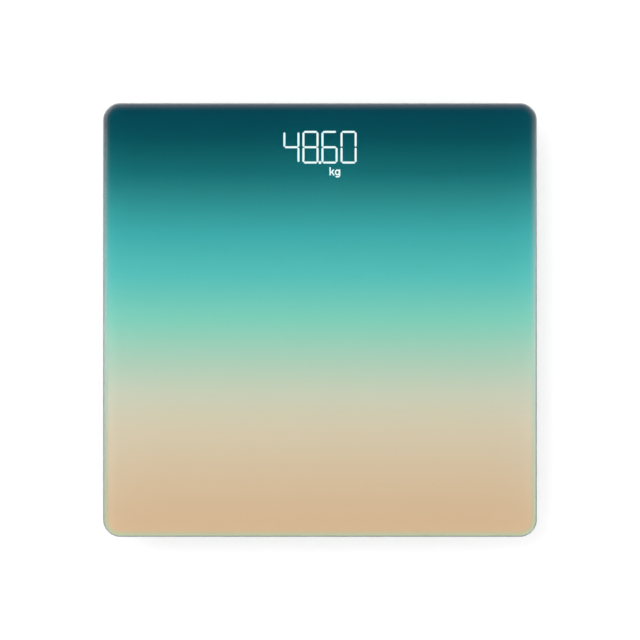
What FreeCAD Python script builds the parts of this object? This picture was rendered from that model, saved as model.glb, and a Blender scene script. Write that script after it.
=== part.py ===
import FreeCAD, Part
import math
import os
import re

import Sketcher
from FreeCAD import Rotation, Vector

# Bathroom scale: a square back-printed glass platform on a shallow plastic tray that stands on four
# load-cell feet. Millimetres. The origin lies on the floor under the middle of the platform, +Z is up
# and +Y points to the display edge.

SIZES = {
    # Glass platform and the printed film and tapes under it
    "glass_side": 280.0,
    "glass_thickness": 5.0,
    "glass_corner": 11.0,
    "glass_top_round": 3.0,
    "glass_under_round": 1.2,
    "film_inset": 2.0,
    "film_thickness": 0.2,
    "tape_thickness": 0.8,
    "rim_tape_width": 4.4,
    "rim_tape_inset": 0.4,
    # Base tray
    "tray_clearance": 4.0,
    "floor_thickness": 2.0,
    "tray_wall": 2.2,
    "wall_slope": 5.0,
    "rim_inset": 6.0,
    "rim_width": 3.0,
    "rim_thickness": 2.0,
    "rim_corner": 9.0,
    "rim_round": 0.8,
    "tray_corner": 8.0,
    "tray_bottom_round": 2.5,
    "rib_thickness": 1.6,
    "rib_drop": 1.0,
    "rib_root": 1.0,
    "gate_margin": 4.0,
    "lead_gate_width": 9.0,
    "border_inset": 6.0,
    "border_width": 1.4,
    "border_depth": 0.5,
    "label_width": 74.0,
    "label_length": 34.0,
    "label_corner": 3.0,
    "label_depth": 0.3,
    "label_setback": 42.0,
    # Load cells, their brackets and the posts that carry them
    "cell_side": 34.0,
    "cell_thickness": 2.5,
    "cell_corner": 2.0,
    "cell_frame": 5.0,
    "cell_slot": 2.0,
    "cell_neck": 11.0,
    "cell_gap": 0.2,
    "post_side": 2.7,
    "post_inset": 0.1,
    "post_to_hole": 0.6,
    "seal_length": 8.0,
    "seal_width": 9.0,
    "seal_height": 1.5,
    "bracket_margin": 8.5,
    "bracket_gap": 3.0,
    "bracket_corner": 6.0,
    "bracket_roof": 2.5,
    "bracket_wall": 2.2,
    "bracket_flange": 2.0,
    "bracket_cap_corner": 3.0,
    "bracket_cap_round": 0.6,
    "flex_side": 25.0,
    "flex_depth": 1.2,
    "lead_notch": 6.0,
    "bracket_tape_side": 34.0,
    # Screws
    "screw_inset": 4.0,
    "screw_radius": 1.3,
    "screw_length": 6.0,
    "screw_head_radius": 2.4,
    "screw_head_height": 1.7,
    "screw_recess_width": 0.7,
    "screw_recess_length": 2.8,
    "screw_recess_depth": 1.0,
    "thread_gap": 0.05,
    "boss_wall": 1.8,
    "boss_spare": 1.0,
    # Feet and their rubber pads
    "foot_gap": 0.5,
    "foot_float": 0.6,
    "foot_wall": 1.8,
    "foot_web": 2.0,
    "foot_round": 1.0,
    "foot_boss_radius": 5.0,
    "foot_rib": 1.2,
    "tab_reach": 2.5,
    "tab_width": 9.0,
    "tab_thickness": 1.4,
    "pad_thickness": 2.5,
    "pad_proud": 1.2,
    "pad_inset": 2.2,
    "pad_gap": 0.1,
    "pad_round": 0.5,
    "groove_radius": 7.0,
    "groove_pitch": 4.0,
    "groove_width": 1.2,
    "groove_depth": 0.6,
    # Display and circuit board
    "board_gap": 0.5,
    "board_width": 72.0,
    "board_length": 42.0,
    "board_thickness": 1.6,
    "board_screw_inset": 4.0,
    "digit_setback": 12.5,
    "reflector_width": 54.0,
    "reflector_length": 34.0,
    "reflector_shift": 5.0,
    "reflector_height": 5.0,
    "gasket_width": 1.2,
    "diffuser_thickness": 0.3,
    "diffuser_gap": 0.2,
    "digit_pitch": 12.3,
    "digit_width": 9.1,
    "digit_height": 19.8,
    "segment_width": 1.65,
    "segment_gap": 0.3,
    "chip_length": 1.6,
    "chip_width": 0.8,
    "chip_height": 0.6,
    "chip_gap": 0.2,
    "dot_radius": 0.95,
    "board_corner": 2.0,
    "reflector_corner": 2.0,
    "controller_side": 9.0,
    "controller_height": 1.2,
    "pin_width": 0.4,
    "pin_length": 1.2,
    "pin_pitch": 1.1,
    "unit_window_width": 9.0,
    "unit_window_length": 8.4,
    "unit_window_across": 9.6,
    "unit_window_down": 16.2,
    # Unit button and the switch over it
    "button_across": 22.0,
    "button_setback": 31.0,
    "button_radius": 3.3,
    "button_gap": 0.3,
    "button_sunk": 0.3,
    "button_flange_radius": 5.0,
    "button_round": 0.5,
    "switch_side": 6.0,
    "switch_height": 3.4,
    "plunger_radius": 1.7,
    "plunger_gap": 0.3,
    "plunger_proud": 1.0,
    "plunger_seat": 1.2,
    "plunger_room": 0.8,
    # Battery bay, cells, contacts and door
    "battery_radius": 5.25,
    "battery_length": 44.5,
    "battery_nub_radius": 1.9,
    "battery_nub_length": 1.2,
    "battery_gap": 0.2,
    "battery_pitch_gap": 0.7,
    "door_pad_length": 36.0,
    "door_pad_width": 4.0,
    "door_pad_height": 1.4,
    "bay_roof": 1.3,
    "bay_wall": 1.6,
    "spring_length": 5.7,
    "spring_radius": 3.4,
    "spring_tip_radius": 2.0,
    "spring_wire": 0.35,
    "spring_turns": 4.0,
    "bridge_width": 20.0,
    "contact_thickness": 0.4,
    "contact_side": 9.0,
    "contact_lead_hole": 0.9,
    "door_thickness": 1.8,
    "door_ledge": 3.0,
    "door_corner": 2.0,
    "door_gap": 0.3,
    "door_lift": 0.1,
    "door_bevel": 1.0,
    "frame_margin": 4.7,
    "frame_rise": 2.4,
    "hook_across": 18.0,
    "hook_width": 8.0,
    "hook_reach": 2.15,
    "hook_thickness": 0.8,
    "hook_slot_gap": 0.4,
    "hook_slot_reach": 2.7,
    "hook_slot_back": 1.0,
    "hook_slot_height": 2.5,
    "hook_lip": 0.9,
    "latch_width": 12.0,
    "latch_leaf": 1.2,
    "latch_span": 3.95,
    "latch_rise": 4.7,
    "latch_barb": 0.6,
    "latch_barb_height": 1.0,
    "latch_barb_lift": 2.3,
    "latch_sunk": 0.3,
    "latch_room": 0.9,
    "latch_gap": 0.35,
    "latch_hood_wall": 1.3,
    "catch_lift": 2.2,
    "catch_height": 1.5,
    "catch_depth": 0.6,
    "scoop_width": 15.0,
    "scoop_length": 10.0,
    "scoop_depth": 1.2,
    # Leads
    "lead_radius": 0.5,
    "lead_pitch": 1.3,
    "lead_lift": 0.1,
    "lead_bend": 1.6,
    "lead_drop_out": 11.5,
    "pad_row_inset": 3.0,
    "rear_row_setback": 4.3,
    "battery_lane_gap": 1.4,
    "battery_row_gap": 9.0,
    "battery_pad_across": 12.0,
    "battery_pad_inset": 3.0,
}

# Sizes that follow from the ones above
DERIVED = {
    "root_two": "1.41421356",
    "floor_top": "tray_clearance + floor_thickness",
    "bay_ceiling": "tray_clearance + door_thickness + 2 * battery_gap + 2 * battery_radius",
    "tray_rim": "bay_ceiling + bay_roof",
    "tray_depth": "tray_rim - tray_clearance",
    "film_under": "tray_rim + tape_thickness",
    "glass_under": "film_under + film_thickness",
    "rim_side": "glass_side - 2 * rim_inset",
    "tray_top_side": "rim_side - 2 * rim_width",
    "tray_bottom_side": "tray_top_side - 2 * wall_slope",
    "wall_lean": "atan(wall_slope / tray_depth)",
    "inner_floor_side": (
        "tray_bottom_side + 2 * wall_slope * floor_thickness / tray_depth - 2 * tray_wall"
    ),
    # Corners, each around its own foot centre
    "cell_top": "tray_rim - bracket_roof",
    "cell_under": "cell_top - cell_thickness",
    "bracket_side": "cell_side + 2 * bracket_margin",
    "bracket_under": "cell_under - bracket_flange",
    "bracket_pocket": "cell_side + 2 * cell_gap",
    "bracket_cap_side": "bracket_pocket + 2 * bracket_wall",
    "foot_place": "inner_floor_side / 2 - bracket_gap - bracket_side / 2",
    "bracket_edge": "foot_place - bracket_side / 2",
    "screw_place": "bracket_side / 2 - screw_inset",
    "post_place": "cell_side / 2 - post_inset - post_side / 2",
    "hole_radius": "root_two * (post_place - post_side / 2) - post_to_hole",
    "foot_radius": "hole_radius - foot_gap",
    "foot_under": "pad_proud",
    "foot_web_under": "pad_thickness",
    "foot_web_top": "foot_web_under + foot_web",
    "tab_under": "floor_top + foot_float",
    "foot_wall_top": "tab_under + tab_thickness",
    "pad_radius": "foot_radius - pad_inset",
    "screw_bore": "screw_radius + thread_gap",
    "boss_radius": "screw_bore + boss_wall",
    # Display end
    "board_front": "inner_floor_side / 2 - board_gap",
    "board_rear": "board_front - board_length",
    "board_middle": "board_front - board_length / 2",
    "board_top": "tray_rim - reflector_height",
    "board_under": "board_top - board_thickness",
    "digit_line": "board_front - digit_setback",
    "reflector_line": "digit_line - reflector_shift",
    "unit_window_line": "digit_line - unit_window_down",
    "switch_under": "board_under - switch_height",
    "plunger_under": "switch_under - plunger_proud",
    "button_line": "board_front - button_setback",
    "board_screw_across": "board_width / 2 - board_screw_inset",
    "board_screw_along": "board_length / 2 - board_screw_inset",
    "solder_across": "board_width / 2 - pad_row_inset",
    # Battery bay
    "battery_height": "tray_clearance + door_thickness + battery_gap + battery_radius",
    "battery_across": "battery_radius + battery_pitch_gap / 2",
    "bay_length": "battery_length + spring_length + 2 * contact_thickness",
    "bay_width": "4 * battery_radius + 2 * battery_pitch_gap",
    "door_length": "bay_length + 2 * door_ledge",
    "door_width": "bay_width + 2 * door_ledge",
    "frame_length": "door_length + 2 * frame_margin",
    "frame_width": "door_width + 2 * frame_margin",
    "door_top": "tray_clearance + door_thickness",
    "hinge_line": "door_width / 2 + door_gap",
    "latch_out": "door_width / 2 - latch_leaf + latch_span",
    "latch_wall": "latch_out + latch_room",
    # Ribs and the lane that the leads take between them and the board
    "rib_top": "tray_rim - rib_drop",
    "rib_across": "board_width / 2 + 0.75 * (bracket_edge - board_width / 2)",
    "rib_along": "frame_width / 2 + 0.65 * (bracket_edge - frame_width / 2)",
    "rib_length": "inner_floor_side + 2 * rib_root",
    "lane_across": "board_width / 2 + 0.25 * (bracket_edge - board_width / 2)",
    "gate_width": "lane_across - frame_length / 2 + 2 * gate_margin",
    "lead_height": "floor_top + lead_radius + lead_lift",
}

CORNERS = {
    "front_left": (-1, 1),
    "front_right": (1, 1),
    "rear_left": (-1, -1),
    "rear_right": (1, -1),
}

doc = FreeCAD.newDocument("BathroomScale")
sheet = doc.addObject("Spreadsheet::Sheet", "Sizes")
for row, (alias, size) in enumerate(SIZES.items(), start=1):
    sheet.set(f"A{row}", str(size))
    sheet.setAlias(f"A{row}", alias)
doc.recompute()


# ---- Formulas ----


def formula(text):
    """A size formula with each alias spelt out as a cell of the sheet, and each derived size expanded."""

    def spell(match):
        word = match.group(0)
        if word in SIZES:
            return "Sizes." + word
        if word in DERIVED:
            return "(" + formula(DERIVED[word]) + ")"
        return word

    return re.sub(r"[a-z][a-z_]+", spell, text)


def value(text):
    """The number that a size formula gives, in millimetres."""
    return float(sheet.evalExpression(formula(text)))


def bind(thing, name, text):
    """Tie a property of a document object to a size formula."""
    thing.setExpression(name, formula(text))


# ---- Sketches ----


def sketch_on(body, name, height="0", x="0", y="0", plane="XY_Plane"):
    """A sketch of its own body's origin plane, raised and shifted by size formulas."""
    support = next(o for o in body.Origin.OriginFeatures if o.Role == plane)
    sketch = body.newObject("Sketcher::SketchObject", name)
    sketch.AttachmentSupport = [(support, "")]
    sketch.MapMode = "FlatFace"
    bind(sketch, ".AttachmentOffset.Base.x", x)
    bind(sketch, ".AttachmentOffset.Base.y", y)
    bind(sketch, ".AttachmentOffset.Base.z", height)
    return sketch


def dimension(sketch, kind, places, text):
    """A sketch dimension whose value is a size formula."""
    index = sketch.addConstraint(Sketcher.Constraint(kind, *places, value(text)))
    sketch.setExpression(f"Constraints[{index}]", formula(text))


def circle(sketch, radius, x="0", y="0"):
    round_line = Part.Circle(Vector(value(x), value(y), 0), Vector(0, 0, 1), value(radius))
    ring = sketch.addGeometry(round_line, False)
    dimension(sketch, "Radius", (ring,), radius)
    dimension(sketch, "DistanceX", (-1, 1, ring, 3), x)
    dimension(sketch, "DistanceY", (-1, 1, ring, 3), y)


def rectangle(sketch, width, length, x="0", y="0"):
    half_w, half_l = value(width) / 2, value(length) / 2
    middle = Vector(value(x), value(y), 0)
    signs = [(1, 1), (-1, 1), (-1, -1), (1, -1)]
    points = [middle + Vector(sx * half_w, sy * half_l, 0) for sx, sy in signs]
    edges = [
        sketch.addGeometry(Part.LineSegment(points[i], points[(i + 1) % 4]), False)
        for i in range(4)
    ]
    for i in range(4):
        sketch.addConstraint(Sketcher.Constraint("Coincident", edges[i], 2, edges[(i + 1) % 4], 1))
        level = "Horizontal" if i % 2 == 0 else "Vertical"
        sketch.addConstraint(Sketcher.Constraint(level, edges[i]))
    dimension(sketch, "DistanceX", (edges[0], 2, edges[0], 1), width)
    dimension(sketch, "DistanceY", (edges[3], 1, edges[3], 2), length)
    dimension(sketch, "DistanceX", (-1, 1, edges[2], 1), f"({x}) - ({width}) / 2")
    dimension(sketch, "DistanceY", (-1, 1, edges[2], 1), f"({y}) - ({length}) / 2")


def rounded_rectangle(sketch, width, length, corner, x="0", y="0"):
    half_w, half_l, radius = value(width) / 2, value(length) / 2, value(corner)
    middle = Vector(value(x), value(y), 0)
    centres = [
        middle + Vector(sx * (half_w - radius), sy * (half_l - radius), 0)
        for sx, sy in [(1, 1), (-1, 1), (-1, -1), (1, -1)]
    ]
    arcs = []
    for turn, centre in enumerate(centres):
        whole = Part.Circle(centre, Vector(0, 0, 1), radius)
        start = turn * math.pi / 2
        arcs.append(sketch.addGeometry(Part.ArcOfCircle(whole, start, start + math.pi / 2), False))
    lines = []
    for turn, centre in enumerate(centres):
        out = Rotation(Vector(0, 0, 1), 90 * turn).multVec(Vector(0, radius, 0))
        ahead = centres[(turn + 1) % 4]
        lines.append(sketch.addGeometry(Part.LineSegment(centre + out, ahead + out), False))
    for i in range(4):
        sketch.addConstraint(Sketcher.Constraint("Tangent", arcs[i], 2, lines[i], 1))
        sketch.addConstraint(Sketcher.Constraint("Tangent", lines[i], 2, arcs[(i + 1) % 4], 1))
        level = "Horizontal" if i % 2 == 0 else "Vertical"
        sketch.addConstraint(Sketcher.Constraint(level, lines[i]))
    for i in range(1, 4):
        sketch.addConstraint(Sketcher.Constraint("Equal", arcs[0], arcs[i]))
    dimension(sketch, "Radius", (arcs[0],), corner)
    dimension(sketch, "DistanceX", (arcs[1], 3, arcs[0], 3), f"({width}) - 2 * ({corner})")
    dimension(sketch, "DistanceY", (arcs[3], 3, arcs[0], 3), f"({length}) - 2 * ({corner})")
    dimension(sketch, "DistanceX", (-1, 1, arcs[2], 3), f"({x}) - ({width}) / 2 + ({corner})")
    dimension(sketch, "DistanceY", (-1, 1, arcs[2], 3), f"({y}) - ({length}) / 2 + ({corner})")


# ---- Features ----


def new_body(label):
    body = doc.addObject("PartDesign::Body", label)
    body.Label = label
    return body


def pad(body, sketch, height, name):
    """Adds material upwards from the sketch."""
    feature = body.newObject("PartDesign::Pad", name)
    feature.Profile = sketch
    bind(feature, "Length", height)
    return feature


def pocket(body, sketch, depth, name, upward=True):
    """Cuts from the sketch, upwards unless told otherwise."""
    feature = body.newObject("PartDesign::Pocket", name)
    feature.Profile = sketch
    feature.Reversed = upward
    bind(feature, "Length", depth)
    return feature


def dress(body, kind, base, size, name, chosen):
    """Fillets or chamfers the edges of the base feature that the test picks."""
    doc.recompute()
    picked = [f"Edge{i}" for i, edge in enumerate(base.Shape.Edges, start=1) if chosen(edge)]
    feature = body.newObject(kind, name)
    feature.Base = (base, picked)
    bind(feature, "Size" if kind.endswith("Chamfer") else "Radius", size)
    return feature


def level_at(text):
    """A test for edges that lie flat at the height of a size formula."""
    height = value(text)
    return lambda edge: all(abs(v.Point.z - height) < 1e-4 for v in edge.Vertexes) and (
        edge.BoundBox.ZLength < 1e-3
    )


def reach(edge):
    """How far an edge lies from the origin in X or Y, whichever is more."""
    box_round = edge.BoundBox
    return max(box_round.XMax, -box_round.XMin, box_round.YMax, -box_round.YMin)


def mirror_all_round(body, originals, name):
    """Repeats features of one quarter in the other three, by mirroring them in X and then in Y."""
    quarters = body.newObject("PartDesign::MultiTransform", name)
    quarters.Originals = originals
    mirrors = []
    for plane in ("YZ_Plane", "XZ_Plane"):
        mirror = doc.addObject("PartDesign::Mirrored", name + plane[:2])
        support = next(o for o in body.Origin.OriginFeatures if o.Role == plane)
        mirror.MirrorPlane = (support, [""])
        mirrors.append(mirror)
    quarters.Transformations = mirrors
    body.Tip = quarters
    return quarters


# ---- Primitives ----


def box(label, width, length, height, x, y, z):
    """A block centred on x and y, standing on z."""
    block = doc.addObject("Part::Box", label)
    block.Label = label
    bind(block, "Length", width)
    bind(block, "Width", length)
    bind(block, "Height", height)
    bind(block, ".Placement.Base.x", f"({x}) - ({width}) / 2")
    bind(block, ".Placement.Base.y", f"({y}) - ({length}) / 2")
    bind(block, ".Placement.Base.z", z)
    return block


def cylinder(label, radius, height, x, y, z, along="Z"):
    """A cylinder that starts at x, y, z and runs along +Z, +X or -X."""
    rod = doc.addObject("Part::Cylinder", label)
    rod.Label = label
    bind(rod, "Radius", radius)
    bind(rod, "Height", height)
    bind(rod, ".Placement.Base.x", x)
    bind(rod, ".Placement.Base.y", y)
    bind(rod, ".Placement.Base.z", z)
    if along != "Z":
        quarter = 90 if along == "X" else -90
        rod.Placement = FreeCAD.Placement(rod.Placement.Base, Rotation(Vector(0, 1, 0), quarter))
    return rod


def fuse(label, pieces):
    whole = doc.addObject("Part::MultiFuse", label)
    whole.Label = label
    whole.Shapes = pieces
    return whole


def cut(label, base, tool):
    whole = doc.addObject("Part::Cut", label)
    whole.Label = label
    whole.Base = base
    whole.Tool = tool
    return whole


def together(label, pieces):
    """Separate solids that share one node."""
    group = doc.addObject("Part::Compound", label)
    group.Label = label
    group.Links = pieces
    return group


def shaped(label, shape):
    piece = doc.addObject("Part::Feature", label)
    piece.Label = label
    piece.Shape = shape
    return piece


def place(piece, x, y, turn=0):
    """Puts a piece modelled around its own centre where the formulas say, turned about Z."""
    piece.Placement = FreeCAD.Placement(Vector(), Rotation(Vector(0, 0, 1), turn))
    bind(piece, ".Placement.Base.x", x)
    bind(piece, ".Placement.Base.y", y)
    return piece


# ---- Platform ----


def make_glass():
    body = new_body("platform_glass")
    outline = sketch_on(body, "GlassOutline", "glass_under")
    rounded_rectangle(outline, "glass_side", "glass_side", "glass_corner")
    slab = pad(body, outline, "glass_thickness", "GlassSlab")
    top = dress(
        body, "PartDesign::Fillet", slab, "glass_top_round", "GlassTopRound",
        level_at("glass_under + glass_thickness"),
    )
    dress(
        body, "PartDesign::Fillet", top, "glass_under_round", "GlassUnderRound",
        level_at("glass_under"),
    )
    return body


def make_film():
    body = new_body("printed_film")
    outline = sketch_on(body, "FilmOutline", "film_under")
    side = "glass_side - 2 * film_inset"
    rounded_rectangle(outline, side, side, "glass_corner - film_inset")
    pad(body, outline, "film_thickness", "FilmSheet")
    return body


def make_rim_tape():
    body = new_body("rim_tape")
    ring = sketch_on(body, "RimTapeRing", "tray_rim")
    outer = "rim_side - 2 * rim_tape_inset"
    inner = "rim_side - 2 * rim_tape_inset - 2 * rim_tape_width"
    rounded_rectangle(ring, outer, outer, "rim_corner - rim_tape_inset")
    rounded_rectangle(ring, inner, inner, "rim_corner - rim_tape_inset - rim_tape_width")
    pad(body, ring, "tape_thickness", "RimTapeSheet")
    return body


def make_support_tapes():
    """Foam tape squares between the film and what carries the glass: four brackets and the bay."""
    pieces = []
    for corner, (sx, sy) in CORNERS.items():
        pieces.append(
            box(
                f"tape_{corner}", "bracket_tape_side", "bracket_tape_side", "tape_thickness",
                f"{sx} * foot_place", f"{sy} * foot_place", "tray_rim",
            )
        )
    pieces.append(
        box("tape_bay", "bay_length - 4", "bay_width - 2", "tape_thickness", "0", "0", "tray_rim")
    )
    return together("support_tapes", pieces)


# ---- Base tray ----


def tray_shell(body):
    """The open pan: a leaning outer wall, its rounded foot, the rim flange and the hollow."""
    outline = sketch_on(body, "TrayOutline", "tray_clearance")
    rounded_rectangle(outline, "tray_bottom_side", "tray_bottom_side", "tray_corner")
    outside = pad(body, outline, "tray_depth", "TrayOutside")
    bind(outside, "TaperAngle", "wall_lean")
    dress(
        body, "PartDesign::Fillet", outside, "tray_bottom_round", "TrayFootRound",
        level_at("tray_clearance"),
    )
    flange = sketch_on(body, "RimFlangeOutline", "tray_rim - rim_thickness")
    rounded_rectangle(flange, "rim_side", "rim_side", "rim_corner")
    rim = pad(body, flange, "rim_thickness", "RimFlange")
    low_edge = level_at("tray_rim - rim_thickness")
    dress(
        body, "PartDesign::Fillet", rim, "rim_round", "RimRound",
        lambda edge: low_edge(edge) and reach(edge) > value("tray_top_side") / 2 + 0.1,
    )
    hollow = sketch_on(body, "HollowOutline", "floor_top")
    rounded_rectangle(hollow, "inner_floor_side", "inner_floor_side", "tray_corner")
    inside = pocket(body, hollow, "tray_rim - floor_top", "TrayHollow")
    bind(inside, "TaperAngle", "wall_lean")


def tray_corners(body):
    """What holds each foot and load cell: posts, screw bosses, the foot's hole and the pilot holes."""
    posts = sketch_on(body, "CellPosts", "floor_top", "foot_place", "foot_place")
    bosses = sketch_on(body, "BracketBosses", "floor_top", "foot_place", "foot_place")
    pilots = sketch_on(body, "BracketPilots", "bracket_under", "foot_place", "foot_place")
    for sx, sy in CORNERS.values():
        x, y = f"{sx} * post_place", f"{sy} * post_place"
        rectangle(posts, "post_side", "post_side", x, y)
        x, y = f"{sx} * screw_place", f"{sy} * screw_place"
        circle(bosses, "boss_radius", x, y)
        circle(pilots, "screw_bore", x, y)
    hole = sketch_on(body, "FootHole", "tray_clearance", "foot_place", "foot_place")
    circle(hole, "hole_radius")
    pilot_depth = "screw_length - bracket_flange + boss_spare"
    features = [
        pad(body, posts, "cell_under - floor_top", "CellPostPads"),
        pad(body, bosses, "bracket_under - floor_top", "BracketBossPads"),
        pocket(body, hole, "floor_thickness", "FootHoleCut"),
        pocket(body, pilots, pilot_depth, "BracketPilotCuts", upward=False),
    ]
    return mirror_all_round(body, features, "FourCorners")


def tray_ribs(body):
    """Stiffening ribs both ways, with open gates where the leads pass."""
    ribs = sketch_on(body, "RibLines", "floor_top")
    for side in (1, -1):
        rectangle(ribs, "rib_thickness", "rib_length", f"{side} * rib_across", "0")
    pad(body, ribs, "rib_top - floor_top", "LongRibs")
    cross = sketch_on(body, "CrossRibLines", "floor_top")
    for side in (1, -1):
        rectangle(cross, "rib_length", "rib_thickness", "0", f"{side} * rib_along")
    pad(body, cross, "rib_top - floor_top", "CrossRibs")
    gates = sketch_on(body, "LeadGates", "floor_top")
    for sx, sy in CORNERS.values():
        rectangle(
            gates, "3 * rib_thickness", "lead_gate_width", f"{sx} * rib_across", f"{sy} * foot_place"
        )
        rectangle(
            gates, "gate_width", "3 * rib_thickness",
            f"{sx} * (lane_across + frame_length / 2) / 2", f"{sy} * rib_along",
        )
    pocket(body, gates, "tray_depth", "LeadGateCuts")


def tray_board_posts(body):
    posts = sketch_on(body, "BoardPosts", "floor_top")
    pilots = sketch_on(body, "BoardPilots", "board_under")
    for sx, sy in CORNERS.values():
        x, y = f"{sx} * board_screw_across", f"board_middle + {sy} * board_screw_along"
        circle(posts, "boss_radius", x, y)
        circle(pilots, "screw_bore", x, y)
    pad(body, posts, "board_under - floor_top", "BoardPostPads")
    pilot_depth = "screw_length - board_thickness + boss_spare"
    pocket(body, pilots, pilot_depth, "BoardPilotCuts", upward=False)
    hole = sketch_on(body, "ButtonHole", "tray_clearance", "button_across", "button_line")
    circle(hole, "button_radius + button_gap")
    pocket(body, hole, "floor_thickness", "ButtonHoleCut")


def tray_battery_bay(body):
    """The door frame, the bay's walls and roof, the latch hood, and the spaces cut into them."""
    frame = sketch_on(body, "DoorFrame", "floor_top")
    rectangle(frame, "frame_length", "frame_width")
    pad(body, frame, "frame_rise", "DoorFramePad")
    walls = sketch_on(body, "BayWalls", "floor_top")
    rectangle(walls, "bay_length + 2 * bay_wall", "bay_width + 2 * bay_wall")
    pad(body, walls, "tray_rim - floor_top", "BayWallPad")
    hood = sketch_on(body, "LatchHood", "floor_top", "0", "-(bay_width / 2 + latch_wall) / 2")
    hood_width = "latch_width + 2 * latch_gap + 2 * latch_hood_wall"
    hood_length = "latch_wall - bay_width / 2 + 2 * latch_hood_wall"
    rectangle(hood, hood_width, hood_length)
    pad(
        body, hood,
        "door_top + latch_rise + latch_gap + latch_hood_wall - floor_top", "LatchHoodPad",
    )
    bay = sketch_on(body, "BayHollow", "tray_clearance")
    rectangle(bay, "bay_length", "bay_width")
    pocket(body, bay, "bay_ceiling - tray_clearance", "BayHollowCut")
    recess = sketch_on(body, "DoorRecess", "tray_clearance")
    rounded_rectangle(
        recess, "door_length + 2 * door_gap", "door_width + 2 * door_gap", "door_corner + door_gap"
    )
    pocket(body, recess, "door_thickness + door_lift", "DoorRecessCut")
    latch = sketch_on(body, "LatchSpace", "tray_clearance")
    inner = "(door_width / 2 - latch_leaf - latch_gap)"
    rectangle(
        latch, "latch_width + 2 * latch_gap", f"latch_wall - {inner}",
        "0", f"-(latch_wall + {inner}) / 2",
    )
    pocket(body, latch, "door_top + latch_rise + latch_gap - tray_clearance", "LatchSpaceCut")
    catch = sketch_on(body, "LatchCatch", "tray_clearance + catch_lift")
    rectangle(
        catch, "latch_width + 2 * latch_gap", "2 * catch_depth", "0", "-(latch_wall)",
    )
    pocket(body, catch, "catch_height", "LatchCatchCut")
    holes = sketch_on(body, "BatteryLeadHoles", "bay_length / 2", plane="YZ_Plane")
    for side in (1, -1):
        circle(holes, "contact_lead_hole", f"{side} * battery_across", "battery_height")
    pocket(body, holes, "bay_wall", "BatteryLeadHoleCuts")
    slots = sketch_on(body, "HookSlots", "tray_clearance + hook_lip")
    for side in (1, -1):
        rectangle(
            slots, "hook_width + 2 * hook_slot_gap", "hook_slot_reach + hook_slot_back",
            f"{side} * hook_across", "hinge_line + (hook_slot_reach - hook_slot_back) / 2",
        )
    pocket(body, slots, "hook_slot_height", "HookSlotCuts")


def tray_scoop(body):
    """A finger scoop in the underside, a slice of a wide cylinder, beside the door's latch."""
    depth, half = value("scoop_depth"), value("scoop_length") / 2
    radius = (half**2 + depth**2) / (2 * depth)
    profile = sketch_on(
        body, "ScoopProfile", "-scoop_width / 2", "-(latch_wall)", "tray_clearance", plane="YZ_Plane"
    )
    round_line = Part.Circle(Vector(0, depth - radius, 0), Vector(0, 0, 1), radius)
    ring = profile.addGeometry(round_line, False)
    length = "scoop_length"
    reach = f"(({length} / 2) ^ 2 + scoop_depth ^ 2) / (2 * scoop_depth)"
    dimension(profile, "Radius", (ring,), reach)
    dimension(profile, "DistanceX", (-1, 1, ring, 3), "0")
    dimension(profile, "DistanceY", (-1, 1, ring, 3), f"scoop_depth - {reach}")
    pocket(body, profile, "scoop_width", "ScoopCut")


def tray_underside(body):
    """The moulded border line and the bare label recess."""
    border = sketch_on(body, "BorderLine", "tray_clearance")
    outer = "tray_bottom_side - 2 * border_inset"
    inner = "tray_bottom_side - 2 * border_inset - 2 * border_width"
    rounded_rectangle(border, outer, outer, "tray_corner")
    rounded_rectangle(border, inner, inner, "tray_corner - border_width")
    pocket(body, border, "border_depth", "BorderLineCut")
    label = sketch_on(
        body, "LabelRecess", "tray_clearance", "0",
        "-(frame_width / 2 + label_setback)",
    )
    rounded_rectangle(label, "label_width", "label_length", "label_corner")
    pocket(body, label, "label_depth", "LabelRecessCut")


def make_tray():
    body = new_body("base_tray")
    tray_shell(body)
    tray_ribs(body)
    tray_battery_bay(body)
    tray_scoop(body)
    tray_board_posts(body)
    tray_underside(body)
    tray_corners(body)
    return body


# ---- Load cells, brackets and feet ----


def make_load_cell(corner):
    """A steel plate with a slot round three sides of its tongue; the neck carries the gauge."""
    body = new_body(f"load_cell_{corner}")
    outline = sketch_on(body, "CellOutline", "cell_under")
    rounded_rectangle(outline, "cell_side", "cell_side", "cell_corner")
    pad(body, outline, "cell_thickness", "CellPlate")
    slot = sketch_on(body, "CellSlot", "cell_under")
    opening = "cell_side - 2 * cell_frame"
    rectangle(slot, opening, opening)
    rectangle(slot, f"{opening} - 2 * cell_slot", f"{opening} - 2 * cell_slot")
    pocket(body, slot, "cell_thickness", "CellSlotCut")
    neck = sketch_on(body, "CellNeck", "cell_under")
    rectangle(
        neck, "2 * cell_slot", "cell_neck", "cell_side / 2 - cell_frame - cell_slot / 2", "0"
    )
    pad(body, neck, "cell_thickness", "CellNeckPad")
    return body


def make_gauge_seals():
    """Silicone blocks over the gauges, under the necks."""
    seals = []
    for corner, (sx, sy) in CORNERS.items():
        seals.append(
            box(
                f"seal_{corner}", "seal_length", "seal_width", "seal_height",
                f"{sx} * (foot_place - cell_side / 2 + seal_length / 2)",
                f"{sy} * foot_place", "cell_under - seal_height",
            )
        )
    return together("gauge_seals", seals)


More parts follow.
